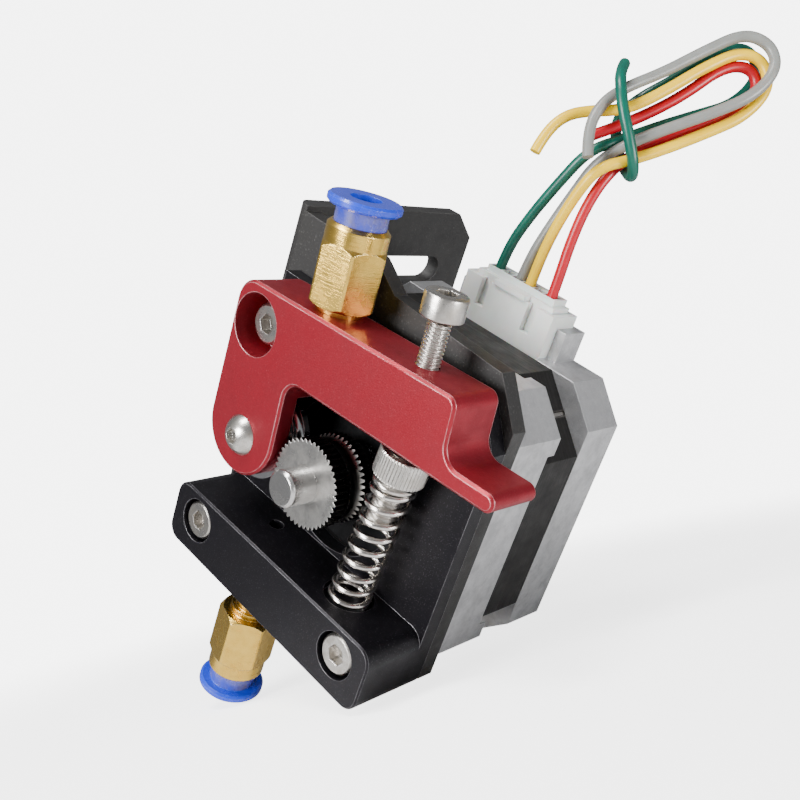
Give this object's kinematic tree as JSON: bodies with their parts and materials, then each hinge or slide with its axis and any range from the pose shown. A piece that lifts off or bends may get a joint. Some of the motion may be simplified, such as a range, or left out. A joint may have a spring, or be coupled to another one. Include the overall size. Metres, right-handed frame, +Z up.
{
  "type": "filament extruder drive",
  "caption": "Stepper-driven filament extruder: slotted bracket, black base block, sprung red idler lever, toothed drive gear, push-in tube fittings and a tied bundle of leads.",
  "frame": {"origin": "centre of the two slots in the bracket's flange, on the flange's outer face", "axes": "+Z up along the outlet's filament path towards the inlet, -Y out of the motor along its shaft, +X away from the flange towards the lever's thumb tab"},
  "size_m": [0.0538, 0.0546, 0.1091],
  "materials": {
    "bell_metal": "satin cast, as machined",
    "stack_steel": "dark, varnished laminations",
    "copper": "enamelled wire",
    "magnet": "matt",
    "bearing_steel": "ground",
    "screw_steel": "satin stainless",
    "shaft_steel": "ground",
    "gear_steel": "satin",
    "spring_steel": "nickel plated",
    "black_steel": "satin black paint",
    "black_anodised": "satin black anodised",
    "red_anodised": "bead-blasted red anodised",
    "brass": "machined",
    "blue_plastic": "translucent moulded",
    "seal_rubber": "matt",
    "white_nylon": "moulded",
    "tin": "tinned",
    "lead_green": "extruded insulation",
    "lead_grey": "extruded insulation",
    "lead_yellow": "extruded insulation",
    "lead_red": "extruded insulation"
  },
  "bodies": {
    "motor_and_block": {"motor_front_bell": "bell_metal", "stator_stack": "stack_steel", "stator_windings": "copper", "motor_rear_bell": "bell_metal", "case_screws": "screw_steel", "motor_bearing_outer_rings": "bearing_steel", "bearing_wave_washer": "spring_steel", "header_housing": "white_nylon", "header_pins": "tin", "plug_housing": "white_nylon", "plug_contacts": "tin", "mount_bracket": "black_steel", "base_block": "black_anodised", "block_screws": "screw_steel", "plate_screw": "screw_steel", "pivot_screw": "screw_steel", "pivot_shim": "screw_steel", "lever_spring": "spring_steel", "outlet_body": "brass", "outlet_seal": "seal_rubber", "lead_hank": "lead_grey", "lead_green": "lead_green", "lead_grey": "lead_grey", "lead_yellow": "lead_yellow", "lead_red": "lead_red", "loose_end_green": "lead_green", "loose_end_yellow": "lead_yellow"},
    "rotor": {"motor_shaft": "shaft_steel", "rotor_cup_front": "stack_steel", "rotor_magnet": "magnet", "rotor_cup_rear": "stack_steel", "motor_bearing_inner_rings": "bearing_steel", "motor_bearing_balls": "bearing_steel", "drive_gear": "gear_steel", "gear_set_screw": "screw_steel"},
    "lever": {"idler_lever": "red_anodised", "idler_screw": "screw_steel", "idler_bush": "screw_steel", "idler_inner_ring": "bearing_steel", "inlet_body": "brass", "inlet_seal": "seal_rubber"},
    "idler": {"idler_outer_ring": "bearing_steel", "idler_balls": "bearing_steel"},
    "guide": {"guide_screw": "screw_steel"},
    "adjuster": {"adjust_screw": "screw_steel"},
    "inlet_release": {"inlet_collet": "blue_plastic"},
    "outlet_release": {"outlet_collet": "blue_plastic"}
  },
  "joints": [
    {"name": "rotor_spin", "type": "hinge", "parent": "motor_and_block", "child": "rotor", "pos_m": [0.0255, -0.019, -0.0043], "axis": [0, 1, 0], "continuous": true},
    {"name": "lever_press", "type": "hinge", "parent": "motor_and_block", "child": "lever", "pos_m": [0.01, -0.028, 0.0112], "axis": [0, 1, 0], "range_deg": [0, 8], "stiffness_Nm_per_rad": 2.51, "springref_deg": -14.32, "deforming": ["lever_spring"]},
    {"name": "idler_spin", "type": "hinge", "parent": "lever", "child": "idler", "pos_m": [0.01259, -0.0272, -0.00417], "axis": [0, 1, 0], "continuous": true},
    {"name": "guide_slide", "type": "slide", "parent": "lever", "child": "guide", "axis": [-0.061, 0, 0.9981], "range_m": [-0.001, 0.0005], "deforming": ["lever_spring"]},
    {"name": "adjust_turn", "type": "hinge", "parent": "guide", "child": "adjuster", "pos_m": [0.03608, -0.0278, 0.0173], "axis": [-0.061, 0, 0.9981], "range_deg": [-720, 360]},
    {"name": "inlet_collet_press", "type": "slide", "parent": "lever", "child": "inlet_release", "axis": [0.061, 0, -0.9981], "range_m": [0, 0.0012], "stiffness_N_per_m": 800, "springref_m": -0.0005},
    {"name": "outlet_collet_press", "type": "slide", "parent": "motor_and_block", "child": "outlet_release", "axis": [0, 0, 1], "range_m": [0, 0.0012], "stiffness_N_per_m": 800, "springref_m": -0.0005}
  ],
  "couplings": [
    {"joint": "guide_slide", "follows": "adjust_turn", "m_per_rad": 0.000079577}
  ]
}
